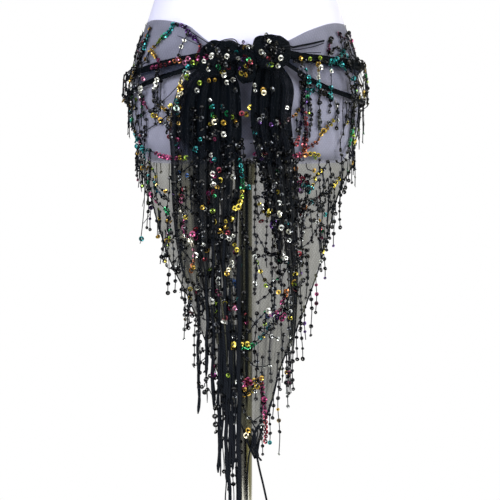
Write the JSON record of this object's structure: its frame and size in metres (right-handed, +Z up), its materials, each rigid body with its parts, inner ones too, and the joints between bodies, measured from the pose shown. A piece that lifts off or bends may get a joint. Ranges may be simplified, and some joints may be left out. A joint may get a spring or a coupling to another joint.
{
  "type": "belly dance hip belt on a dress form",
  "caption": "Triangular net hip scarf with sequin swags and hanging fringe, wound round a limbless hip form on a steel pole and tied in front in a gathered knot with long pleated tails.",
  "frame": {"origin": "on the floor, under the middle of the pole, at the underside of the base plate", "axes": "+Z up along the pole; -Y is the front of the hips, where the knot is; +X is the viewer's right from the front"},
  "size_m": [0.3617, 0.32, 1.01],
  "materials": {
    "net": "black nylon net, matt, see-through",
    "sequin_fringe": "black thread strung with cupped iridescent film sequins",
    "polished_steel": "polished tube and plate",
    "form_cover": "smooth white jersey, matt"
  },
  "bodies": {
    "root": {"front_panel": "net", "wing_left": "net", "wing_right": "net", "band_back_left": "net", "band_back_right": "net", "band_front_left": "net", "band_front_right": "net", "knot_left": "net", "knot_right": "net", "knot_core": "net", "tail_left": "net", "tail_right": "net", "fringe_panel_left": "sequin_fringe", "fringe_panel_right": "sequin_fringe", "fringe_wing_left": "sequin_fringe", "fringe_wing_right": "sequin_fringe", "fringe_band_left": "sequin_fringe", "fringe_band_right": "sequin_fringe", "fringe_tail_left": "sequin_fringe", "fringe_tail_right": "sequin_fringe", "fringe_tip": "sequin_fringe", "base_plate": "polished_steel", "base_collar": "polished_steel", "pole": "polished_steel", "form_socket": "polished_steel", "form_body": "form_cover"}
  },
  "joints": []
}
